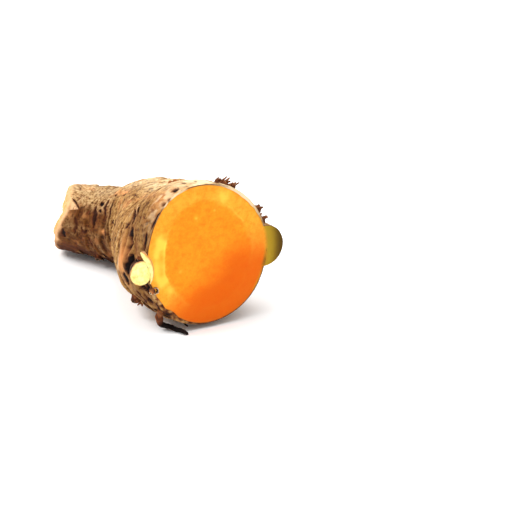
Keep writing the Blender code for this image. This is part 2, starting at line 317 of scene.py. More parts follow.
def lumps(x, angle):
    """Slow uneven swellings, the fuller corner beside the cut face, and dips along the back."""
    swelling = (0.40 * np.sin(2 * angle + 0.9 + 0.11 * x)
                + 0.28 * np.sin(3 * angle - 0.7 - 0.17 * x)
                + 0.20 * np.sin(5 * angle + 0.31 * x))
    corner = (CORNER_RISE * hump(degrees_from(angle, CORNER_DEGREES) / CORNER_SPREAD)
              * ease((x - 10.0) / 9.0))
    back = sum(rise * hump((x - place) / reach) * hump(degrees_from(angle, degrees) / spread)
               for place, reach, degrees, spread, rise in BACK_TRIMS)
    return swelling * np.clip((20.0 - x) / 10.0, 0.25, 1.0) + corner + back


def skin_point(x, angle, height):
    """Points of the skin for matching arrays of x along the spine, angle and relief."""
    along = x + ring_shift(x, angle)
    centre, _, side, up, half_width, half_height = spine_frame(along.ravel())
    grow = (height + lumps(x, angle)).ravel()
    wide = (half_width + grow) * np.cos(angle.ravel())
    high = (half_height + grow) * np.sin(angle.ravel())
    points = centre + side * wide[:, None] + up * high[:, None]
    points[:, 2] = np.maximum(points[:, 2], 0.0)
    return points.reshape(x.shape + (3,))


def spot_on_skin(x, degrees):
    """A point of the skin and the direction straight out of it."""
    angle = np.array([math.radians(degrees)])
    outer = skin_point(np.array([x]), angle, np.array([0.0]))[0]
    centre = spine_frame(np.array([x]))[0][0]
    outward = (outer - centre) / np.linalg.norm(outer - centre)
    return outer, outward


def degrees_from(angle, middle):
    """Signed distance in degrees from a middle direction."""
    return (np.degrees(angle) - middle + 180.0) % 360.0 - 180.0


def round_from(angle, degrees):
    """Signed millimetres round the even rod from a direction in degrees."""
    return np.radians(degrees_from(angle, degrees)) * ROUND_RADIUS


# Fine relief of the skin


def round_places(angle, offset):
    """Places on a circle round the root, for noise that closes on itself."""
    return np.stack([ROUND_RADIUS * np.cos(angle), ROUND_RADIUS * np.sin(angle),
                     np.full_like(angle, offset)], -1)


def unrolled(x, angle):
    """Places on the root as if it were a straight rod: x, then the circle round it."""
    return np.stack([x, ROUND_RADIUS * np.cos(angle), ROUND_RADIUS * np.sin(angle)], -1)


def scale_edges(angle):
    """Where each ring's ragged edge runs, its strength and how far it gapes, by column."""
    edges = []
    strengths = []
    gapes = []
    for index, (x, strength) in enumerate(RINGS):
        places = round_places(angle, index * 40.0)
        strays = (0.55 * grain(places, 6.0, 1) + 0.30 * grain(places, 1.9, 2)
                  + 0.14 * grain(places, 0.7, 3))
        wave = 0.85 + 0.35 * np.sin(2 * angle + 1.7 * x)
        edges.append(x + strays)
        flat = 1 - 0.8 * hump(degrees_from(angle, 118.0) / 26.0)
        if index == 0:
            flat = flat * (1 - 0.85 * hump(degrees_from(angle, 147.0) / 18.0))
        uneven = np.clip(0.75 + 0.9 * grain(places, 5.0, 4), 0.1, 1.4)
        strengths.append(strength * wave * flat * uneven)
        calm = flat * (1 - 0.9 * hump(degrees_from(angle, 110.0) / 34.0))
        gapes.append(np.clip(1.6 * grain(places, 3.0, 5) - 0.25, 0.0, 1.0) * strength * calm)
    return np.array(edges), np.array(strengths), np.array(gapes)


def ring_relief(x, angle):
    """Height of the overlapping scales, and painted shade by how deep in a gap between them each place
    is.
    """
    edges, strengths, gapes = scale_edges(angle[0])
    edges = np.vstack([edges[0] + 6.0, edges, np.full_like(edges[:1], STUB_END_X - 6.0)])
    strengths = np.vstack([strengths[:1], strengths, strengths[-1:]])
    gapes = np.vstack([gapes[:1] * 0, gapes, gapes[:1] * 0])
    height = np.zeros_like(x)
    crevice = np.zeros_like(x)
    for front in range(len(edges) - 1):
        near, far = edges[front], edges[front + 1]
        inside = (x < near) & (x >= far)
        gone = x - far
        crest = RING_RISE * strengths[front + 1]
        foot = -RING_DROP * strengths[front + 1]
        drop = crest + (foot - crest) * ease(gone / RING_EDGE_WIDTH)
        share = np.clip((gone - RING_EDGE_WIDTH) / (near - far - RING_EDGE_WIDTH), 0.0, 1.0)
        rise = foot + (RING_RISE * strengths[front] - foot) * share ** 1.3
        here = np.where(gone < RING_EDGE_WIDTH, drop, rise)
        # Painted shade where a scale's edge gapes from the skin below
        gap = hump((gone - 0.42) / 0.24) * gapes[front + 1]
        height = np.where(inside, here - 0.34 * gap, height)
        crevice = np.where(inside, 0.65 * gap, crevice)
    lifted = hump(degrees_from(angle, SCALE_LIFT_DEGREES) / SCALE_LIFT_SPREAD)
    slant = 0.15 * np.clip(degrees_from(angle, 174.0), -4.0, 18.0) - 1.6
    behind = edges[LIFTED_RING + 1] - slant - x
    ramp = np.where(behind >= 0, ease(1 - behind / 4.2), ease(1 + behind / 0.6))
    height = height + SCALE_LIFT * lifted * ramp
    whole = hump(degrees_from(angle, SCALE_LIFT_DEGREES) / (1.3 * SCALE_LIFT_SPREAD))
    flap = whole * ease((behind - 0.3) / 0.9) * ease((7.4 - behind) / 0.8)
    flap_edge = hump((behind - 6.7) / 0.5) * hump(degrees_from(angle, 185.0) / 8.0)
    return height, crevice, flap, flap_edge


def creases(x, angle, straight):
    """Thin wandering creases that run round the root, more of them on the swollen part, with painted
    shade along them.
    """
    bulb = 0.45 + 0.55 * ease((x + 27.0) / 5.0)
    calm = 1 - 0.75 * ease(1 - np.abs(degrees_from(angle, 100.0)) / 42.0)
    strayed = straight * np.array([1.0, 0.24, 0.24])
    strayed[..., 0] += 0.9 * grain(straight, 6.0, 51) + 0.35 * grain(straight, 2.2, 52)
    broad = 1 - np.clip(np.abs(grain(strayed, 1.2, 53)) / 0.20, 0.0, 1.0)
    fine = 1 - np.clip(np.abs(grain(strayed, 0.62, 54)) / 0.26, 0.0, 1.0)
    here = ease(0.40 + 1.1 * grain(straight, 3.2, 55))
    there = ease(0.40 + 1.1 * grain(straight, 2.0, 56))
    folds = 0.10 * grain(strayed, 0.9, 57)
    depth = (0.17 * broad * here + 0.10 * fine * there) * bulb * calm
    # Painted shade along the creases
    dark = np.clip(0.42 * broad ** 2 * here + 0.40 * fine ** 2 * there, 0.0, 1.0) * bulb * calm
    return folds - depth, dark


def away_from_line(x, angle, line):
    """Distance in millimetres along the skin from a line of x and degree points, and how far
    along the line the nearest place is, from 0 to 1."""
    nearest = np.full(x.shape, 99.0)
    along = np.zeros(x.shape)
    pieces = len(line) - 1
    for piece, ((x0, turn0), (x1, turn1)) in enumerate(zip(line[:-1], line[1:])):
        middle = 0.5 * (turn0 + turn1)
        across = round_from(angle, middle)
        half = 0.5 * math.radians(turn1 - turn0) * ROUND_RADIUS
        run = x1 - x0
        step = run * run + 4 * half * half
        share = np.clip(((x - x0) * run + (across + half) * 2 * half) / step, 0.0, 1.0)
        off = np.hypot(x - x0 - share * run, across + half - share * 2 * half)
        along = np.where(off < nearest, (piece + share) / pieces, along)
        nearest = np.minimum(nearest, off)
    return nearest, along


def add_cracks(x, angle, straight, height, crevice):
    """Cracks under lifted scales, darkened by painted shade, ragged along their length and thin at their
    ends.
    """
    strayed = 0.13 * grain(straight, 0.9, 6) + 0.08 * grain(straight, 0.45, 7)
    swell = 1.0 + 0.6 * grain(straight, 1.1, 8)
    for line, width, depth, darkness in CRACKS:
        away, along = away_from_line(x, angle, line)
        here = width * swell * (1.1 - 0.75 * np.abs(2 * along - 1) ** 3)
        off = np.maximum(away + strayed, 0.0) / np.maximum(here, 0.05)
        height = height - depth * hump(off)
        # Painted shade inside the crack
        crevice = np.maximum(crevice, np.clip(1.5 * hump(off / 1.35), 0.0, 1.0) * darkness)
    return height, crevice


def add_scars(x, angle, height, crevice):
    """Round root scars with a raised rim, and small scattered pits and dashes, darkened inside by
    painted shade.
    """
    rng = random.Random(MARK_SEED)
    rim_mark = np.zeros_like(x)
    for place, degrees, radius in ROOT_SCARS:
        across = round_from(angle, degrees)
        away = np.hypot((x - place) / 1.25, across) / radius
        rim = hump((away - 1.15) / 0.40)
        hole = hump(away / 0.75)
        height = height + 0.10 * rim - 0.45 * hole
        # Painted shade in the scar's hole
        crevice = np.maximum(crevice, np.clip(1.2 * hole, 0.0, 0.8))
        rim_mark = np.maximum(rim_mark, rim)
    for _ in range(SCATTERED_MARKS):
        place = rng.uniform(STUB_END_X + 2.0, CUT_X - 0.8)
        degrees = rng.uniform(-180.0, 180.0)
        radius = rng.uniform(0.11, 0.26)
        stretch = rng.uniform(1.0, 4.0)
        lean = rng.uniform(-0.4, 0.4)
        deep = rng.uniform(0.08, 0.22)
        dark = rng.uniform(0.35, 0.95)
        across = round_from(angle, degrees)
        hole = hump(np.sqrt(((x - place - lean * across) / radius) ** 2
                            + (across / (radius * stretch)) ** 2))
        height = height - deep * hole
        # Painted shade in the pit
        crevice = np.maximum(crevice, hole * dark)
    bump_mark = np.zeros_like(x)
    for place, degrees, radius in PALE_BUMPS:
        across = round_from(angle, degrees)
        bump_mark = np.maximum(bump_mark, hump(np.hypot(x - place, across) / radius))
    return height + 0.30 * bump_mark, crevice, 0.22 * rim_mark, 0.9 * bump_mark


def inside_corners(x, angle, corners):
    """How far inside a triangle of skin each place is, from 0 on its edge to 1."""
    across = round_from(angle, corners[0][1])
    spots = [(place, math.radians(degrees - corners[0][1]) * ROUND_RADIUS)
             for place, degrees in corners]
    depth = np.full(x.shape, 99.0)
    for (x0, a0), (x1, a1), (x2, a2) in zip(spots, spots[1:] + spots[:1], spots[2:] + spots[:2]):
        far = (x2 - x0) * (a1 - a0) - (a2 - a0) * (x1 - x0)
        off = ((x - x0) * (a1 - a0) - (across - a0) * (x1 - x0)) * math.copysign(1.0, far)
        depth = np.minimum(depth, off / math.hypot(x1 - x0, a1 - a0))
    return ease(depth / 0.35)


def blurred(field, reach):
    """A field averaged over its neighbours within this reach, closed round the root."""
    total = sum(np.roll(field, step, axis=1) for step in range(-reach, reach + 1))
    padded = np.pad(total, ((reach, reach), (0, 0)), mode="edge")
    rows = len(field)
    return sum(padded[step:step + rows] for step in range(2 * reach + 1)) / (2 * reach + 1) ** 2


def fine_relief(straight):
    """Faint fibres that run along the root, dry wrinkles and a corky grain."""
    wrinkles = grain(straight * np.array([0.45, 1.0, 1.0]), 2.6, 11)
    fibres = grain(straight * np.array([0.18, 1.0, 1.0]), 0.95, 12)
    corky = grain(straight, 0.62, 13)
    return 0.08 * wrinkles + 0.05 * fibres + 0.08 * corky


# Materials


def srgb(code):
    """A linear colour from an sRGB hex code."""
    parts = [int(code[index:index + 2], 16) / 255 for index in (1, 3, 5)]
    line = [p / 12.92 if p <= 0.04045 else ((p + 0.055) / 1.055) ** 2.4 for p in parts]
    return (*line, 1.0)


def add_node(tree, kind, settings=None, links=None):
    """Add one node, with its settings, and set or link its inputs."""
    made = tree.nodes.new(kind)
    for name, value in (settings or {}).items():
        if name == "stops":
            ramp = made.color_ramp
            while len(ramp.elements) < len(value):
                ramp.elements.new(0.5)
            for element, (place, colour) in zip(ramp.elements, value):
                element.position = place
                element.color = colour
        else:
            setattr(made, name, value)
    for key, value in (links or {}).items():
        if isinstance(value, bpy.types.NodeSocket):
            tree.links.new(value, made.inputs[key])
        else:
            made.inputs[key].default_value = value
    return made


def start_material(name):
    """An empty node material with its Principled shader joined to the output."""
    material = bpy.data.materials.new(name)
    material.use_nodes = True
    return material, material.node_tree, material.node_tree.nodes["Principled BSDF"]


def dry_root_skin(name, tan, dark, light, shade):
    """Corky dried rhizome skin: matt, grained round the root, darkened by painted shade in its folds and
    on its flanks, pale on edges, with painted highlight on crests and along the top.
    """
    material, tree, surface = start_material(name)
    marks = {mark: add_node(tree, "ShaderNodeAttribute", {"attribute_name": mark}).outputs
             for mark in ("straight", "cavity", "crevice", "pale", "brown", "fresh", "dusky")}
    straight = marks["straight"]["Vector"]
    crevice = marks["crevice"]["Fac"]
    # Drawn out round the root for the grain lines and specks, and along it for the fibres
    drawn, pulled = [
        add_node(tree, "ShaderNodeVectorMath", {"operation": "MULTIPLY"},
                 {0: straight, 1: stretch}).outputs[0]
        for stretch in ((1.0, 0.42, 0.42), (0.22, 1.0, 1.0))]
    # Grain lines are 0.9 mm apart and 2 mm long, fibres 0.7 mm apart and 3 mm long, patches 5 mm
    # across, and corky grains 0.9 mm
    streak, fibre, patch, cork = [
        add_node(tree, "ShaderNodeTexNoise", None,
                 {"Vector": places, "Scale": scale, "Detail": detail, "Roughness": roughness,
                  "Distortion": distortion}).outputs["Fac"]
        for places, scale, detail, roughness, distortion in (
            (drawn, 1.15, 5.0, 0.68, 0.8), (pulled, 1.5, 4.0, 0.6, 0.0),
            (straight, 0.20, 4.0, 0.6, 0.0), (straight, 1.15, 4.0, 0.65, 0.0))]
    # Rusty specks, at most one in 1.1 mm along the root and 2.6 mm round it
    spots = add_node(tree, "ShaderNodeTexVoronoi", None,
                     {"Vector": drawn, "Scale": 0.9, "Randomness": 1.0}).outputs["Distance"]
    near_spot = add_node(tree, "ShaderNodeMath", {"operation": "MULTIPLY_ADD"},
                         {0: streak, 1: 0.9, 2: spots}).outputs[0]
    speck, patch_share, rosy_share = [
        add_node(tree, "ShaderNodeMapRange", None,
                 {"Value": pattern, "From Min": low, "From Max": high, "To Max": most}).outputs[0]
        for pattern, low, high, most in (
            (near_spot, 0.66, 0.50, 0.85), (patch, 0.45, 0.65, 0.7), (patch, 0.46, 0.34, 0.55))]
    # The tone starts from the painted shade and highlight of the relief
    tone, evened, deepest_shade = [
        add_node(tree, "ShaderNodeMath", {"operation": "MULTIPLY"}, {0: mark, 1: factor}).outputs[0]
        for mark, factor in (
            (marks["cavity"]["Fac"], 0.75), (marks["brown"]["Fac"], 0.4), (crevice, crevice))]
    for pattern, weight in ((streak, 0.8), (fibre, 0.2), (cork, 1.6)):
        tone = add_node(tree, "ShaderNodeMath", {"operation": "MULTIPLY_ADD"},
                        {0: pattern, 1: weight, 2: tone}).outputs[0]
    spread = add_node(tree, "ShaderNodeMapRange", None,
                      {"Value": tone, "From Min": 1.00, "From Max": 1.54}).outputs[0]
    base = add_node(tree, "ShaderNodeValToRGB",
                    {"stops": [(0.0, srgb(dark)), (0.32, srgb(shade)), (0.52, srgb(tan)),
                               (1.0, srgb(light))]}, {0: spread}).outputs["Color"]
    # From the bottom up: an even tan over the darker stub and its painted shade, dull and rosy patches,
    # painted shade on the flanks, darker stub with painted shade on its sides, rusty specks, fresh
    # orange, pale edges with painted highlight, red-brown painted shade in crevices, and painted
    # near-black shade in the darkest
    layers = ((evened, "MIX", "#A07C50"), (patch_share, "MULTIPLY", "#CFB493"),
              (rosy_share, "MULTIPLY", "#E8C2A6"), (marks["dusky"]["Fac"], "MULTIPLY", "#CEBB98"),
              (marks["brown"]["Fac"], "MULTIPLY", "#8A673C"), (speck, "MIX", "#6E3218"),
              (marks["fresh"]["Fac"], "MIX", "#D08A50"), (marks["pale"]["Fac"], "MIX", "#F2D9AE"),
              (crevice, "MIX", "#6A3218"), (deepest_shade, "MIX", "#140805"))
    for share, blend, colour in layers:
        base = add_node(tree, "ShaderNodeMix", {"data_type": "RGBA", "blend_type": blend},
                        {0: share, 6: base, 7: srgb(colour)}).outputs[2]
    tree.links.new(base, surface.inputs["Base Color"])
    rough = add_node(tree, "ShaderNodeMapRange", None,
                     {"Value": cork, "To Min": 0.70, "To Max": 0.95}).outputs[0]
    tree.links.new(rough, surface.inputs["Roughness"])
    surface.inputs["Specular IOR Level"].default_value = 0.15
    relief = add_node(tree, "ShaderNodeMath", {"operation": "MULTIPLY_ADD"},
                      {0: cork, 1: 1.0, 2: streak}).outputs[0]
    bump = add_node(tree, "ShaderNodeBump", None,
                    {"Height": relief, "Strength": 0.8, "Distance": 0.00024}).outputs[0]
    tree.links.new(bump, surface.inputs["Normal"])
    return material


def cut_flesh(name, inner, outer, line, rim, glow, seen_through=0.3):
    """Knife-cut or torn rhizome flesh: faintly see-through, one colour in its core, one outside."""
    material, tree, surface = start_material(name)
    marks = {mark: add_node(tree, "ShaderNodeAttribute", {"attribute_name": mark}).outputs
             for mark in ("straight", "share", "rim", "pale", "deep", "green", "brown")}
    place = marks["straight"]["Vector"]
    # Cloudy patches are 4.5 mm across and mottling 1.2 mm. Starch grain is too fine to show, so it
    # is drawn at 0.7 mm
    cloud, starch, mottle = [
        add_node(tree, "ShaderNodeTexNoise", None,
                 {"Vector": place, "Scale": scale, "Detail": detail,
                  "Roughness": roughness}).outputs["Fac"]
        for scale, detail, roughness in ((0.22, 3.0, 0.5), (1.5, 5.0, 0.6), (0.8, 3.0, 0.65))]
    # Bundles of vessels show as paler dots about 0.4 mm wide and 1.3 mm apart
    dots = add_node(tree, "ShaderNodeTexVoronoi", None,
                    {"Vector": place, "Scale": 0.8, "Randomness": 1.0}).outputs["Distance"]
    strayed = add_node(tree, "ShaderNodeMath", {"operation": "MULTIPLY_ADD"},
                       {0: starch, 1: 0.03, 2: marks["share"]["Fac"]}).outputs[0]
    colour = add_node(tree, "ShaderNodeValToRGB",
                      {"stops": [(0.0, srgb(inner)), (0.73, srgb(inner)), (0.785, srgb(outer)),
                                 (1.0, srgb(outer))]},
                      {0: strayed}).outputs["Color"]
    cloud_share, mottle_share, dot_share, grain_share = [
        add_node(tree, "ShaderNodeMapRange", None,
                 {"Value": pattern, "From Min": low, "From Max": high, "To Max": most}).outputs[0]
        for pattern, low, high, most in (
            (cloud, 0.4, 0.7, 0.6), (mottle, 0.58, 0.30, 0.8), (dots, 0.24, 0.06, 0.22),
            (starch, 0.55, 0.3, 0.5))]
    # From the bottom up: clouds, vessel dots, grain and mottling, pale patches, deeper orange that is
    # painted shade low on the cut face, the greenish side bud made darker as painted shade, painted
    # shade and a dark seam at its edge, and the rim
    layers = ((cloud_share, "MIX", glow), (dot_share, "MIX", line),
              (grain_share, "MULTIPLY", "#F2DCC0"), (mottle_share, "MULTIPLY", "#F8D4AC"),
              (marks["pale"]["Fac"], "MIX", "#FDD24E"), (marks["deep"]["Fac"], "MIX", "#D85A00"),
              (marks["green"]["Fac"], "MIX", "#A2861F"), (marks["brown"]["Fac"], "MIX", "#3E2406"),
              (marks["rim"]["Fac"], "MIX", rim))
    for share, blend, shade in layers:
        colour = add_node(tree, "ShaderNodeMix", {"data_type": "RGBA", "blend_type": blend},
                          {0: share, 6: colour, 7: srgb(shade)}).outputs[2]
    tree.links.new(colour, surface.inputs["Base Color"])
    for setting, value in (("Roughness", 0.5), ("IOR", 1.40), ("Specular IOR Level", 0.1),
                           ("Subsurface Weight", seen_through),
                           ("Subsurface Radius", (1.0, 0.45, 0.12)), ("Subsurface Scale", 0.0012)):
        surface.inputs[setting].default_value = value
    relief = add_node(tree, "ShaderNodeMath", {"operation": "MULTIPLY_ADD"},
                      {0: dots, 1: 0.3, 2: starch}).outputs[0]
    bump = add_node(tree, "ShaderNodeBump", None,
                    {"Height": relief, "Strength": 0.35, "Distance": 0.00012}).outputs[0]
    tree.links.new(bump, surface.inputs["Normal"])
    return material


# Making pieces


def add_piece(name, points, faces, material, marks):
    """A piece of the root from points in millimetres, with its marks stored on its points."""
    mesh = bpy.data.meshes.new(name)
    mesh.from_pydata((np.asarray(points).reshape(-1, 3) * MM).tolist(), [], faces)
    for mark, values in marks.items():
        if mark == "straight":
            layer = mesh.attributes.new(mark, "FLOAT_VECTOR", "POINT")
            layer.data.foreach_set("vector", np.asarray(values, dtype=np.float32).ravel())
        else:
            layer = mesh.attributes.new(mark, "FLOAT", "POINT")
            layer.data.foreach_set("value", np.asarray(values, dtype=np.float32).ravel())
    mesh.shade_smooth()
    mesh.materials.append(material)
    piece = bpy.data.objects.new(name, mesh)
    bpy.context.scene.collection.objects.link(piece)
    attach(piece, "root")
    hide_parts(NODE)
    return piece


def tube_faces(rows, columns):
    """Outward quads of a closed tube whose rows run away from the cut face."""
    first = np.arange(rows - 1)[:, None] * columns + np.arange(columns)
    following = np.arange(rows - 1)[:, None] * columns + (np.arange(columns) + 1) % columns
    quads = np.stack([first, first + columns, following + columns, following], -1)
    return quads.reshape(-1, 4).tolist()


def end_face(rows, columns):
    """The one face that closes the last row of a tube."""
    return tuple((rows - 1) * columns + column for column in range(columns))[::-1]


def disc_faces(rows, columns, towards_cut):
    """Quads of a disc made of rings that shrink, closed by a small middle face."""
    faces = [tuple(quad) for quad in tube_faces(rows, columns)]
    faces.append(end_face(rows, columns))
    return [face[::-1] for face in faces] if towards_cut else faces


def knife_height(points):
    """The slight unevenness that a knife leaves on wet flesh, in millimetres."""
    drag = 0.02 * np.sin(points[..., 2] * 2.1 + 0.4 * points[..., 1])
    return 0.05 * grain(points, 3.0, 32) + 0.02 * grain(points, 0.8, 33) + drag


def lip_of_skin(columns):
    """Round the cut: how thick the skin shows in millimetres, how pale and how barky it is."""
    upper_far = hump(degrees_from(columns, 50.0) / 28.0)
    upper_near = hump(degrees_from(columns, 122.0) / 17.0)
    lower_near = hump(degrees_from(columns, 228.0) / 27.0)
    ragged = 0.5 + 0.5 * grain(round_places(columns, 610.0), 1.1, 24)
    thickness = (0.22 + 0.60 * upper_far * (0.7 + 0.5 * ragged) + 0.35 * upper_near * ragged
                 + 1.15 * lower_near * (0.7 + 0.5 * ragged))
    pale = np.clip(0.95 * upper_far + 0.9 * upper_near * ease(2.2 * ragged - 0.6), 0.0, 1.0)
    return thickness, pale, lower_near


def make_skin(material):
    """The ringed skin from the knife cut to the torn stub end. Returns the two open rims."""
    columns = even_turn(SKIN_COLUMNS)
    # Each column's start moves along the spine until its point lies in the plane of the cut
    start = np.full(SKIN_COLUMNS, CUT_X)
    for _ in range(8):
        start = start - (skin_point(start, columns, 0 * start)[:, 0] - CUT_X)
    thickness, lip_pale, barky = lip_of_skin(columns)
    start = start - 0.8 * barky
    end = STUB_END_X + 0.30 * grain(round_places(columns, 700.0), 3.0, 21)
    for degrees, dent, spread in BREAK_DENTS:
        end = end + dent * hump(degrees_from(columns, degrees) / spread)
    x = start + (end - start) * np.linspace(0.0, 1.0, SKIN_ROWS)[:, None]
    angle = np.broadcast_to(columns, x.shape)
    straight = unrolled(x, angle)
    height, crevice, flap, flap_edge = ring_relief(x, angle)
    folds, dark_lines = creases(x, angle, straight)
    height = height + folds + fine_relief(straight)
    crevice = np.maximum(crevice, dark_lines)
    near_rim = hump((x - start) / 0.8)
    height = height * (1 - 0.6 * near_rim)
    height, crevice = add_cracks(x, angle, straight, height, crevice)
    height, crevice, rim_mark, bump_mark = add_scars(x, angle, height, crevice)
    height = height * (1 - 0.85 * hump((x - start) / 0.45))
    height = height - 0.45 * ease(1 - (x - end) / 1.3) ** 2
    peeled = inside_corners(x, angle, PEELED)
    height = height - 0.25 * peeled
    points = skin_point(x, angle, height)
    points[0, :, 0] = CUT_X - 0.8 * barky + 0.08 * grain(round_places(columns, 500.0), 0.9, 22)
    # Painted shade in the hollows of the relief and painted highlight on its crests
    cavity = np.clip(1.1 * (height - blurred(height, 6)), -0.5, 0.45)

    # Colour marks, from 0 to 1, by place along the root and by degrees from its back
    from_top = np.abs(degrees_from(angle, 96.0))
    # Pale thin skin along the top beside the cut, with painted highlight on it
    pale_strip_and_highlight = 0.9 * ease(1 - np.abs(degrees_from(angle, 82.0)) / 42.0) * ease((x - 18.6) / 2.2)
    beside = 0.38 * hump(degrees_from(angle, 124.0) / 22.0) * ease((x - 20.2) / 1.4)
    pale_noise = grain(straight, 1.6, 23)
    broken = ease(0.5 + 2.2 * grain(straight, 0.8, 27))
    pale = (pale_strip_and_highlight * ease(0.85 + pale_noise) + beside * broken) * (1 - 0.8 * crevice)
    pale = np.maximum(pale, rim_mark)
    # Painted highlight: paler along the top of the root, less so on the stub
    pale = np.maximum(pale, 0.34 * ease(1.15 - from_top / 30.0) * ease(0.7 + 0.6 * pale_noise)
                      * (1 - 0.6 * ease((-18.0 - x) / 6.0)))
    pale = np.maximum(pale, np.maximum(0.35 * peeled, 0.45 * flap_edge))
    # Browner on the stub, with painted shade that darkens the sides of the stub and of the bulb near the
    # cut
    brown = ease((-18.5 - x) / 10.0) * (0.35 + 0.80 * ease((from_top - 30.0) / 26.0))
    brown = brown + (0.45 * ease((x - 9.0) / 5.0) * ease((from_top - 25.0) / 20.0)
                     * ease((150.0 - from_top) / 40.0))
    brown = brown * (0.85 + 0.30 * grain(straight, 2.2, 29))
    # Painted shade along the underside of the stub
    under_edge = 112.0 + 12.0 * ease((x + 36.0) / 8.0)
    under_stub_shade = 0.75 * ease((from_top - under_edge) / 10.0) * ease((-19.0 - x) / 4.0)
    crevice = np.maximum(crevice, under_stub_shade * ease(0.9 + 0.8 * grain(straight, 1.6, 30)))
    # Painted shade: all but the top of the root is darker, more so low down and on the sides near the
    # cut, and none on the stub end
    dusky = (0.90 * ease((from_top - 4.0) / 20.0) + 0.25 * ease((from_top - 85.0) / 25.0)
             + 0.40 * ease((x - 9.0) / 6.0) * ease((from_top - 30.0) / 20.0))
    dusky = dusky * ease((x + 30.0) / 8.0)
    torn_edge = (x - end) / 1.45 + 0.3 * grain(straight, 1.5, 28)
    torn = ease(1.2 - torn_edge)
    crevice = crevice * (1 - 0.5 * torn)
    brown = brown * (1 - torn)
    pale = np.maximum(pale, 0.30 * torn)
    fresh = np.maximum(0.9 * torn,
                       0.4 * ease((x - 19.5) / 2.0) * hump(degrees_from(angle, 125.0) / 14.0))
    fresh = np.maximum(fresh, 0.30 * ease(grain(straight, 3.0, 25) * 1.6 - 0.4))
    streak = hump(away_from_line(x, angle, FRESH_STREAK)[0] / 0.8)
    fresh = np.maximum(fresh, 0.9 * streak * ease(0.9 + 0.8 * pale_noise))
    fresh = np.maximum(fresh, np.maximum(0.8 * flap * ease(0.9 + 0.6 * pale_noise), bump_mark))
    fresh = np.maximum(fresh, 0.7 * peeled)

    # The lip of skin that shows round the cut, from its inner edge out
    middle = points[0].mean(axis=0)
    inward = middle - points[0]
    inward[:, 0] = 0.0
    inward = unit_rows(inward)
    under_lobe = hump(degrees_from(columns, 0.0) / 20.0)
    proud = 0.07 - 0.3 * under_lobe
    shares = np.array([1.0, 1.0, 0.8, 0.6, 0.4, 0.2])[:, None]
    front = points[0] + inward * (thickness * shares)[..., None]
    pitted = grain(front, 0.9, 26)
    front[..., 0] = (CUT_X + proud - 0.8 * barky * (1 - shares)
                     + (0.05 + 0.35 * barky * (1 - shares) * shares * 3) * pitted)
    front[0, :, 0] = CUT_X - 0.4
    points = np.concatenate([front, points])
    lip_dark = 0.70 - lip_pale - 0.35 * barky + 1.3 * barky * (-pitted - 0.1)
    front_marks = {"crevice": np.clip(lip_dark, 0.0, 1.0), "pale": lip_pale + 0 * pitted,
                   "dusky": barky + 0 * pitted, "cavity": 0.4 * pitted * barky}
    marks = {"cavity": cavity, "crevice": crevice, "pale": pale, "brown": brown, "fresh": fresh,
             "dusky": dusky}
    for mark, values in marks.items():
        marks[mark] = np.clip(np.concatenate([front_marks.get(mark, 0 * pitted), values]), -0.5, 1.0)
    lip_straight = straight[:1] + shares[..., None] * np.array([0.3, 1.0, 1.0])
    marks["straight"] = np.concatenate([lip_straight, straight])
    add_piece("ringed_skin", points, tube_faces(len(points), SKIN_COLUMNS), material, marks)
    return front[1], points[-1], columns


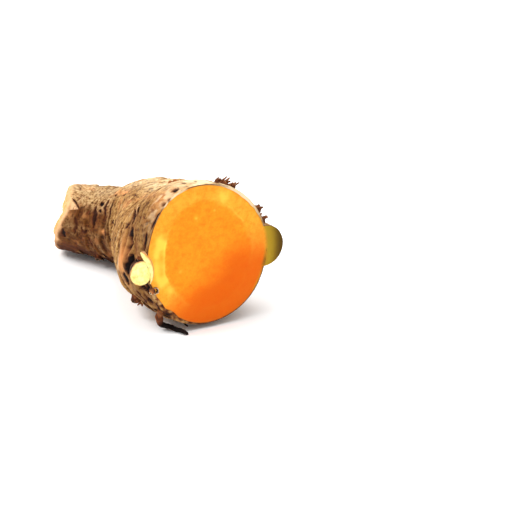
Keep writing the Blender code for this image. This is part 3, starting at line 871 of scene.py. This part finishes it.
def make_cut_face(lip, columns, material):
    """The knife cut across the wide end and the far bud, which has grown into it."""
    middle = np.array([CUT_X, lip[:, 1].mean(), lip[:, 2].mean()])
    way = lip - middle
    way[:, 0] = 0.0
    reach = np.linalg.norm(way, axis=1)
    way /= reach[:, None]
    lobe = np.array([0.0, FAR_BUD[0, 1], FAR_BUD[0, 2]]) - middle
    lobe[0] = 0.0
    along = way @ lobe
    left = FAR_BUD[0, 3] ** 2 - (lobe @ lobe - along ** 2)
    lobe_reach = np.where(left > 0, along + np.sqrt(np.maximum(left, 0)), 0.0)
    outline = np.maximum(reach, lobe_reach - 0.12)
    shares = 1 - np.linspace(0.0, 1.0, FACE_RINGS) ** 1.15 * 0.985
    shares[1:4] = (0.996, 0.985, 0.97)
    away = outline * shares[:, None]
    points = middle + way * away[..., None]
    rho = away / reach
    angle = np.broadcast_to(columns, rho.shape)
    points[..., 0] = CUT_X + knife_height(points) * ease((1 - shares) / 0.02)[:, None]

    border = 0.75 - 0.04 * np.cos(2 * angle) + 0.05 * hump(degrees_from(angle, -8.0) / 26.0)
    strayed = rho + 0.022 * grain(points, 3.0, 31) + 0.008 * grain(points, 0.9, 34)
    zone = np.where(strayed < border, strayed * CORE_EDGE / border,
                    CORE_EDGE + (strayed - border) / (1 - border) * (1 - CORE_EDGE))
    points[..., 0] -= 0.03 * hump((zone - CORE_EDGE) / 0.02)
    on_left = ease((29.0 - np.abs(degrees_from(angle, 180.0))) / 7.0)
    uneven = ease(0.85 + 0.6 * grain(points, 1.8, 35))
    left_band = (ease((zone - 0.755) / 0.02) * (0.10 + 0.90 * ease((0.95 - zone) / 0.07))
                 * on_left * uneven)
    ring_line = hump((zone - 0.775) / 0.014) * ease(0.2 + 1.2 * grain(points, 4.0, 36))
    pale = 0.80 * left_band + 0.30 * ring_line
    for y, z, size, share in PALE_PATCHES:
        patch_here = np.hypot(points[..., 1] - y, points[..., 2] - z) / size
        pale = np.maximum(pale, share * hump(patch_here + 0.3 * grain(points, 1.0, 37)))
    # Painted shade: the flesh turns deeper orange towards the bottom and the right
    aside = np.minimum(points[..., 1] + 1.6, 8.0)
    low = (19.2 - points[..., 2] + 0.75 * aside + 1.0) / 14.0 + 0.15 * grain(points, 4.0, 38)
    lobe_share = ease((rho - 0.95) / 0.10) * (np.abs(degrees_from(angle, 0.0)) < 40.0)
    # Painted shadow: the side bud darkens towards its outer edge
    lobe_edge_shade = ease((rho - 1.05) / 0.20) * (lobe_share > 0)
    seam = (hump((rho - 0.995) / 0.02) * hump((degrees_from(angle, -4.0) + 12.0) / 7.0)
            * (lobe_share > 0))
    edge = ease((shares - 0.975) / 0.02)[:, None] * 0.35 * (1 - lobe_share)
    marks = {"straight": points[..., [1, 2, 0]], "share": zone, "rim": edge,
             "pale": np.clip(pale, 0, 1), "deep": 0.9 * ease(low) * (1 - lobe_share),
             "green": 0.95 * lobe_share, "brown": np.clip(0.85 * lobe_edge_shade + 0.8 * seam, 0, 1)}
    add_piece("cut_face", points, disc_faces(len(shares), SKIN_COLUMNS, True), material, marks)


def make_stub_end(rim, columns, material):
    """The torn face where the stub was snapped off."""
    centre, tangent = spine_frame(np.array([STUB_END_X]))[:2]
    shares = np.linspace(1.0, 0.02, STUB_RINGS)[:, None]
    rows = centre + (rim - centre) * shares[..., None]
    tear = 0.5 * np.sin(3 * columns + 5 * shares) + 0.35 * np.sin(7 * columns - 3 * shares)
    tear = 0.7 * tear * shares * ease((1 - shares) / 0.12)
    fibres = 0.30 * grain(rows, 1.1, 41) + 0.15 * grain(rows, 0.5, 42)
    lift = BREAK_DOME * (1 - shares ** 3) + tear + fibres * ease((1 - shares) / 0.08)
    points = rows + tangent * lift[..., None]
    share = np.broadcast_to(shares, lift.shape)
    zero = 0 * share
    marks = {"straight": points, "share": share * 0.7 + 0.2 * grain(points, 1.5, 43),
             "rim": 0.8 * ease((share - 0.97) / 0.02), "pale": 0.35 * ease(grain(points, 1.2, 44)),
             "deep": 0.25 * ease(grain(points, 2.0, 45)), "green": zero}
    add_piece("torn_stub_end", points, disc_faces(len(shares), SKIN_COLUMNS, False), material, marks)


def make_bud_skin(name, path, rows, columns_count, material, seed, dark, proud):
    """The wrapped skin of a side bud that the knife cut through. Returns its front rim."""
    columns = even_turn(columns_count)
    x = np.linspace(path[0, 0], path[-1, 0], rows)
    centre = smooth_path(path, x)
    x, angle = np.meshgrid(x, columns, indexing="ij")
    gone = path[0, 0] - x
    places = np.stack([x, centre[:, 2:3] * np.cos(angle), centre[:, 2:3] * np.sin(angle)], -1)
    wraps = 0.14 * (((gone / 1.9 + 0.25 * grain(places, 1.4, seed)) % 1.0) - 0.5)
    relief = wraps + 0.12 * grain(places * np.array([0.5, 1, 1]), 1.1, seed + 1)
    relief = (relief + 0.06 * grain(places, 0.5, seed + 2)) * (0.3 + 0.7 * ease(gone / 0.8))
    radius = np.maximum(centre[:, 2:3], 0.05) + relief
    points = np.stack([x, centre[:, 0:1] + radius * np.cos(angle),
                       centre[:, 1:2] + radius * np.sin(angle)], -1)
    points[0, :, 0] += proud
    zero = 0 * x
    # Painted shade that deepens away from the cut, as strong as the given darkness, with random tone;
    # the relief of the wraps gives painted shade and highlight
    shadow = zero + dark * ease(gone / 1.2) + 0.25 * grain(places, 1.0, seed + 5)
    marks = {"straight": places, "cavity": np.clip(1.5 * (relief - blurred(relief, 3)), -0.5, 0.45),
             "crevice": np.clip(shadow, 0, 1),
             "pale": 0.25 * ease(1 - gone / 0.6), "brown": zero, "fresh": 0.75 * ease(1 - gone / 1.0)}
    add_piece(name, points, tube_faces(rows, columns_count), material, marks)
    return points[0]


def make_near_bud_cut(rim, material):
    """The round cream cut of the near bud, slightly domed, with a ragged edge."""
    columns_count = len(rim)
    middle = rim.mean(axis=0)
    shares = np.linspace(1.0, 0.03, 24)[:, None]
    points = middle + (rim - middle) * shares[..., None]
    swell = 0.06 * grain(points, 1.0, 84) + 0.16 * (1 - shares ** 2)
    points[..., 0] += swell * ease((1 - shares) / 0.1)
    share = np.broadcast_to(shares, swell.shape)
    turn = even_turn(columns_count)
    bits = ease((share + 0.05 * grain(points, 0.7, 85) - 0.93) / 0.05)
    frayed = 0.85 * bits * (1 - 0.85 * hump(degrees_from(turn, 15.0) / 50.0))
    marks = {"straight": points[..., [1, 2, 0]], "share": share * 0.7, "rim": frayed,
             "pale": 0.45 * ease((points[..., 1] + 19.0) / 2.0) * ease(0.5 + grain(points, 0.9, 86)),
             "deep": 0 * share, "green": 0 * share}
    add_piece("near_bud_cut", points, disc_faces(len(shares), columns_count, True), material, marks)


def make_sheath(skin, flesh):
    """The pale sheath leaf that wraps the near bud, cut through with it."""
    knots = np.array(SHEATH)
    place = np.linspace(0, len(knots) - 1, 40)
    line = np.column_stack([np.interp(place, np.arange(len(knots)), knots[:, k]) for k in range(3)])
    line = (np.roll(line, 1, 0) + np.roll(line, -1, 0) + 2 * line)[1:-1] / 4
    way = unit_rows(np.gradient(line[:, :2], axis=0))
    side = np.column_stack([way[:, 1], -way[:, 0]])
    flat = np.column_stack([line[:, :2], 0 * line[:, 0]])
    ragged = line[:, 2:3] * (1 + 0.18 * grain(flat, 0.8, 87)[:, None])
    outline = np.vstack([line[:, :2] + side * ragged, (line[:, :2] - side * ragged)[::-1]])
    count = len(outline)
    heart = np.array([-6.0, 17.0])
    rows = []
    for depth in (0.0, 0.6, 1.8, SHEATH_DEPTH):
        sunk = outline + (heart - outline) * 0.08 * depth
        rows.append(np.column_stack([np.full(count, CUT_X + 0.16 - depth), sunk]))
    points = np.array(rows)
    faces = tube_faces(len(rows), count) + [end_face(len(rows), count)]
    shape = points.shape[:2]
    zero = np.zeros(shape)
    marks = {"straight": points, "cavity": zero, "crevice": zero, "pale": zero + 0.3, "brown": zero,
             "fresh": zero + 0.9}
    add_piece("near_bud_sheath", points, faces, skin, marks)
    half = count // 2
    front = np.stack([rows[0][:half] * share + rows[0][::-1][:half] * (1 - share)
                      for share in np.linspace(0.0, 1.0, 9)])
    front[..., 0] += 0.03
    grid = [(r * half + c, r * half + c + 1, (r + 1) * half + c + 1, (r + 1) * half + c)
            for r in range(8) for c in range(half - 1)]
    zero = np.zeros(front.shape[:2])
    edge = zero.copy()
    edge[:2] = 0.95
    edge[2] = 0.5
    edge[-1] = 0.35
    marks = {"straight": front[..., [1, 2, 0]], "share": zero + 0.4, "rim": edge, "pale": zero,
             "deep": zero, "green": zero}
    add_piece("near_bud_sheath_cut", front, grid, flesh, marks)


def sweep(path, columns_count, rows):
    """Centres, radii, spokes and directions of a tube swept smoothly through its points."""
    knots = np.array(path, dtype=float)
    place = np.linspace(0, len(knots) - 1, rows)
    index = np.clip(place.astype(int), 0, len(knots) - 2)
    f = (place - index)[:, None]
    before = knots[np.clip(index - 1, 0, None)]
    here = knots[index]
    after = knots[index + 1]
    beyond = knots[np.clip(index + 2, None, len(knots) - 1)]
    line = 0.5 * (2 * here + (after - before) * f + (2 * before - 5 * here + 4 * after - beyond) * f ** 2
                  + (3 * here - before - 3 * after + beyond) * f ** 3)
    ways = unit_rows(np.gradient(line[:, :3], axis=0))
    across = np.cross(ways[0], [0.3, 0.1, 1.0])
    spokes = []
    angles = even_turn(columns_count)
    for way in ways:
        across = across - way * np.dot(across, way)
        across /= np.linalg.norm(across)
        upward = np.cross(across, way)
        spokes.append(across * np.cos(angles)[:, None] + upward * np.sin(angles)[:, None])
    return line[:, :3], line[:, 3], np.array(spokes), ways


def make_resting_bud(material):
    """The small unopened bud on the far side, wrapped in pointed scales."""
    columns_count, rows = 72, 60
    centres, radii, spokes, _ = sweep(RESTING_BUD, columns_count, rows)
    angle = even_turn(columns_count)
    gone = np.linspace(0.0, 1.0, rows)[:, None]
    turn = np.broadcast_to(angle, (rows, columns_count))
    slanted = gone * 5.0 + 0.35 * np.sin(turn + 1.0) + 0.12 * np.sin(3 * turn)
    wraps = 0.30 * ((slanted % 1.0) - 0.5) * ease(gone / 0.15)
    radius = np.maximum(radii, 0.05)[:, None]
    places = centres[:, None] + spokes * radius[..., None]
    relief = wraps + 0.10 * grain(places, 1.1, 101) + 0.05 * grain(places, 0.5, 102)
    points = centres[:, None] + spokes * (radius + relief)[..., None]
    zero = 0 * relief
    # Painted shade under each scale's edge, and painted shade and highlight from the relief
    cavity = np.clip(1.2 * (relief - blurred(relief, 3)), -0.5, 0.45)
    marks = {"straight": places[..., [1, 0, 2]], "cavity": cavity,
             "crevice": np.clip(hump(((slanted % 1.0) - 0.03) / 0.06) * 0.8, 0, 1),
             "pale": 0.25 * ease(1 - gone / 0.4) + zero, "brown": zero, "fresh": 0.15 + zero,
             "dusky": 0.6 + zero}
    faces = tube_faces(rows, columns_count)
    faces.append(tuple(range(columns_count)))
    faces.append(end_face(rows, columns_count))
    add_piece("resting_bud", points, faces, material, marks)


def make_lifted_scales(material):
    """Papery remains of leaf scales whose edges stand up from the skin."""
    rng = random.Random(SCALE_SEED)
    scales = list(LIFTED_SCALES)
    for _ in range(SCATTERED_SCALES):
        x, strength = RINGS[rng.randrange(1, len(RINGS))]
        degrees = rng.uniform(-175.0, 125.0)
        spread = rng.uniform(9.0, 24.0)
        lean = rng.uniform(-0.9, 0.9)
        width = rng.uniform(0.7, 1.5)
        lift = rng.uniform(0.15, 0.35) * strength
        if degrees + spread < SCALES_END_DEGREES:
            scales.append((x + 0.5 - lean, degrees, x + 0.5 + lean, degrees + spread, width, lift))
    long_count, wide_count = 26, 9
    s, t = np.meshgrid(np.linspace(0, 1, long_count), np.linspace(-1, 1, wide_count), indexing="ij")
    sheet = long_count * wide_count
    points = []
    faces = []
    marks = {mark: [] for mark in ("straight", "cavity", "crevice", "pale", "brown", "fresh", "dusky")}
    for index, (x0, turn0, x1, turn1, width, lift) in enumerate(scales):
        main = index < len(LIFTED_SCALES)
        taper = np.sin(math.pi * np.clip(s, 0.0, 1.0) ** 0.7) ** 0.7
        wobble = 0.22 * grain(np.stack([s * 9, t * 0.6 + index * 5, 0 * s], -1), 1.6, 111)
        x = x0 + (x1 - x0) * s + (0.5 * width * t + wobble * width) * taper
        angle = np.radians(turn0 + (turn1 - turn0) * s)
        stand = lift * taper * ease((t + 1) / 2) + 0.08 * taper
        places = unrolled(x, angle)
        upper = skin_point(x, angle, stand + 0.12 + 0.05 * grain(places, 0.8, 112))
        lower = skin_point(x, angle, np.minimum(stand - 0.10 * taper, 0.5 * stand) - 0.25 * (1 - taper))
        base = len(points) * 2 * sheet
        points.append(np.concatenate([upper.reshape(-1, 3), lower.reshape(-1, 3)]))
        for r in range(long_count - 1):
            for c in range(wide_count - 1):
                a = base + r * wide_count + c
                b = a + wide_count
                faces.append((a, b, b + 1, a + 1))
                faces.append((a + sheet, a + sheet + 1, b + sheet + 1, b + sheet))
        border = ([r * wide_count + wide_count - 1 for r in range(long_count)]
                  + [(long_count - 1) * wide_count + c for c in range(wide_count - 2, -1, -1)]
                  + [r * wide_count for r in range(long_count - 2, -1, -1)]
                  + list(range(1, wide_count - 1)))
        for a, b in zip(border, border[1:] + border[:1]):
            faces.append((base + a, base + b, base + b + sheet, base + a + sheet))
        free = ease((t + 0.2) / 1.2)
        # Painted shade at the low ends of each scale
        shares = {"straight": places, "cavity": 0.15 * grain(places, 1.0, 113),
                  "crevice": 0.5 * (1 - taper) * (t < 0), "pale": (0.35 if main else 0.10) * free,
                  "brown": ease((-20.0 - x) / 6.0) * (0.2 if main else 0.7),
                  "fresh": (0.75 if main else 0.1) + 0 * t, "dusky": (0.3 if main else 0.7) + 0 * t}
        for mark, values in shares.items():
            flat = values.reshape(-1, 3) if mark == "straight" else values.ravel()
            # Painted shade over the underside of each scale
            under = flat if mark == "straight" else (np.full(sheet, 0.75) if mark == "crevice" else flat)
            marks[mark] += [flat, under]
    for mark in marks:
        marks[mark] = np.concatenate(marks[mark])
    add_piece("lifted_scales", np.concatenate(points), faces, material, marks)


def hidden_stubs():
    """Seeded root stubs on the underside flanks and the far side, as in the solid."""
    rng = random.Random(HIDDEN_STUB_SEED)
    stubs = []
    for count in range(HIDDEN_STUB_COUNT):
        x = 16.0 - 5.6 * count + rng.uniform(-1.2, 1.2)
        degrees = rng.uniform(-48.0, 32.0)
        stubs.append((x, degrees, rng.uniform(0.9, 1.9), rng.uniform(0.8, 1.2) * 0.85))
    return stubs


def root_paths():
    """Every root stub, rootlet and torn fibre: its points, sides, rows, roughness and fibre share."""
    rng = random.Random(MARK_SEED)
    paths = []
    for x, degrees, length, radius in ROOT_STUBS + hidden_stubs():
        outer, outward = spot_on_skin(x, degrees)
        lean = outward + np.array([0.25, 0.0, -0.15])
        steps = ((-1.0, 1.5), (-0.15, 1.35), (0.35, 1.15), (0.75, 0.95), (1.0, 0.7))
        paths.append(([(*(outer + lean * length * max(share, -1.0 / length)), radius * swell)
                       for share, swell in steps], 26, 18, 0.30, 0.0))
    paths.append((CUT_ROOT, 22, 18, 0.15, 0.0))
    for path in ROOTLETS:
        paths.append((path, 16, 90, 0.38, 0.3))
    for x, degrees, count, length in TUFTS:
        for _ in range(count):
            outer, outward = spot_on_skin(x + rng.uniform(-0.7, 0.7), degrees + rng.uniform(-3.5, 3.5))
            bend = np.array([rng.uniform(-0.9, 0.9), rng.uniform(-0.9, 0.9), rng.uniform(-0.5, 0.6)])
            reach = length * rng.uniform(0.45, 1.0)
            radius = rng.uniform(0.30, 0.55)
            paths.append(([(*(outer - outward * 0.5), radius * 1.4),
                           (*(outer + outward * 0.1), radius * 1.2),
                           (*(outer + (outward + bend * 0.5) * reach * 0.5), radius),
                           (*(outer + (outward + bend) * reach), radius * 0.5)], 7, 9, 0.45, 1.0))
    return paths


def make_roots(material):
    """Broken root stubs, thin rootlets and torn fibres, rough and dark."""
    points = []
    faces = []
    fibre = []
    ends = []
    for seed, (path, columns_count, rows, rough, torn) in enumerate(root_paths()):
        centres, radii, spokes, ways = sweep(path, columns_count, rows)
        around = centres[:, None] + spokes * 0.6
        swell = radii[:, None] * (1 + rough * grain(around, 0.8, seed + 60))
        tube = centres[:, None] + spokes * swell[..., None]
        broken = 0.35 * radii[-1] * grain(spokes[-1] * 2, 0.9, seed + 61)
        tube[-1] += ways[-1] * broken[:, None]
        tube[..., 2] = np.maximum(tube[..., 2], 0.02)
        base = sum(len(part) for part in points)
        hollow = (tube[-1].mean(axis=0) - ways[-1] * radii[-1] * 0.9)[None]
        points += [tube.reshape(-1, 3), hollow]
        faces += [tuple(base + corner for corner in face) for face in tube_faces(rows, columns_count)]
        faces.append(tuple(base + corner for corner in range(columns_count)))
        last = base + (rows - 1) * columns_count
        tip = base + rows * columns_count
        faces += [(last + c, tip, last + (c + 1) % columns_count) for c in range(columns_count)]
        fibre.append(np.full(rows * columns_count + 1, torn))
        share = np.repeat(np.linspace(0, 1, rows), columns_count)
        ends.append(np.append(share, HOLLOW_MARK))
    points = np.vstack(points)
    fibre = np.concatenate(fibre)
    ends = np.concatenate(ends)
    zero = 0 * ends
    blotch = grain(points, 1.2, 72)
    hollow_tip = ends == HOLLOW_MARK
    # Painted shade inside the hollow tips of broken roots
    cup_shade = hollow_tip * (fibre < 0.5)
    far_out = ease((ends - 0.35) / 0.2) * (fibre > 0.2) * (fibre < 0.5)
    by_knife = ease((points[:, 0] - CUT_X) / 0.15) * (fibre < 0.2)
    dark = 0.40 + 0.40 * blotch + 0.8 * cup_shade + 0.75 * far_out - 0.8 * by_knife * (1 - cup_shade)
    cut_end = ease((ends - 0.88) / 0.1) * (fibre < 0.2) * ~hollow_tip
    marks = {"straight": points, "cavity": 0.30 * grain(points, 0.6, 71),
             "crevice": np.clip(dark, 0, 1) + 1.5 * cup_shade,
             "pale": np.clip(0.55 + 0.6 * by_knife, 0, 1) * cut_end,
             "brown": zero,
             "fresh": np.clip(0.35 * ease(0.3 + grain(points, 1.4, 73)) + 0.25 * fibre, 0, 1)}
    add_piece("root_stubs_and_rootlets", points, faces, material, marks)


# Light, floor and camera


def make_stage():
    """A plain white table top in even white light."""
    # Matt white paint: no shine, so the table goes flat white and only soft shadows show on it
    material, _, surface = start_material("white_painted_board")
    surface.inputs["Base Color"].default_value = srgb("#FBFBFB")
    surface.inputs["Roughness"].default_value = 0.9
    mesh = bpy.data.meshes.new("table_top")
    half = TABLE_HALF_WIDTH
    mesh.from_pydata([(-half, -half, 0), (half, -half, 0), (half, half, 0), (-half, half, 0)],
                     [], [(0, 1, 2, 3)])
    mesh.materials.append(material)
    floor = bpy.data.objects.new("table_top", mesh)
    bpy.context.scene.collection.objects.link(floor)
    world = bpy.data.worlds.new("studio")
    world.use_nodes = True
    world.node_tree.nodes["Background"].inputs["Color"].default_value = (1.0, 1.0, 1.0, 1.0)
    world.node_tree.nodes["Background"].inputs["Strength"].default_value = AMBIENT
    bpy.context.scene.world = world
    bpy.context.scene.view_settings.view_transform = "Standard"


def add_area_light(name, place, aim, width, power):
    """A square soft box that points at a spot, in metres and watts."""
    light = bpy.data.lights.new(name, "AREA")
    light.size = width
    light.energy = power
    lamp = bpy.data.objects.new(name, light)
    lamp.location = place
    lamp.rotation_mode = "QUATERNION"
    lamp.rotation_quaternion = (Vector(aim) - Vector(place)).to_track_quat("-Z", "Y")
    bpy.context.scene.collection.objects.link(lamp)


def make_camera():
    """The photograph's view: the cut face 29 degrees off the line of sight, from 20 degrees up."""
    turn = math.radians(CAMERA_TURN)
    lift = math.radians(CAMERA_LIFT)
    back = Vector((math.cos(turn) * math.cos(lift), -math.sin(turn) * math.cos(lift),
                   math.sin(lift)))
    right = Vector((math.sin(turn), math.cos(turn), 0.0))
    upward = back.cross(right)
    face = Vector(SPINE[1, :3].tolist()) * MM
    aim = face + right * (MIDDLE_RIGHT / PIXELS_PER_METRE) - upward * (MIDDLE_BELOW / PIXELS_PER_METRE)
    camera = bpy.data.cameras.new("camera")
    camera.sensor_width = SENSOR_WIDTH
    camera.lens = SENSOR_WIDTH * PIXELS_PER_METRE * CAMERA_DISTANCE / PHOTO_PIXELS
    camera.clip_start = 0.01
    holder = bpy.data.objects.new("camera", camera)
    holder.location = face + back * CAMERA_DISTANCE
    holder.rotation_mode = "QUATERNION"
    holder.rotation_quaternion = (aim - holder.location).to_track_quat("-Z", "Y")
    bpy.context.scene.collection.objects.link(holder)
    bpy.context.scene.camera = holder


make_stage()
make_camera()
add_area_light("key_box", (-0.28, -0.50, 0.72), MIDDLE, 0.45, 7.0)
add_area_light("top_box", (0.10, 0.20, 0.88), MIDDLE, 0.60, 5.0)

# Cork that dried on the root: matt tan that takes the light softly, with painted shade that darkens its
# folds
skin = dry_root_skin("dry_corky_root_skin", tan="#B6935E", dark="#4A2D16", light="#E4C393",
                     shade="#8C663E")
# Thin roots that dried and broke: the same matt grain, so dark that they stand out red-brown
root = dry_root_skin("dried_root_fibre", tan="#5E2C16", dark="#1C0A06", light="#A86434",
                     shade="#3C180C")
# Wet flesh fresh from the knife: strong orange, softly lit from inside, with hardly any shine
flesh = cut_flesh("fresh_turmeric_flesh", inner="#FA941A", outer="#FAAC34", line="#FBB840",
                  rim="#C9702A", glow="#FC9A1E")
# Young flesh of the cut bud: the same wet cut, cream and almost even
cream = cut_flesh("pale_bud_flesh", inner="#FCF5A2", outer="#FBEB90", line="#FDF9B8",
                  rim="#D98A3C", glow="#FDFAB4")
# Flesh that tore and dried in the air: pale orange and dull, less light comes through
torn = cut_flesh("torn_dry_flesh", inner="#DFA062", outer="#E4A768", line="#EDBE86",
                 rim="#B97A44", glow="#E9B67A", seen_through=0.1)

face_lip, stub_rim, columns = make_skin(skin)
make_cut_face(face_lip, columns, flesh)
make_stub_end(stub_rim, columns, torn)
near_rim = make_bud_skin("near_bud_skin", NEAR_BUD, 60, 96, skin, 81, 0.9, 0.05)
make_near_bud_cut(near_rim, cream)
make_sheath(skin, cream)
make_bud_skin("far_bud_skin", FAR_BUD, 70, 120, skin, 91, 0.1, -0.3)
make_resting_bud(skin)
make_lifted_scales(skin)
make_roots(root)
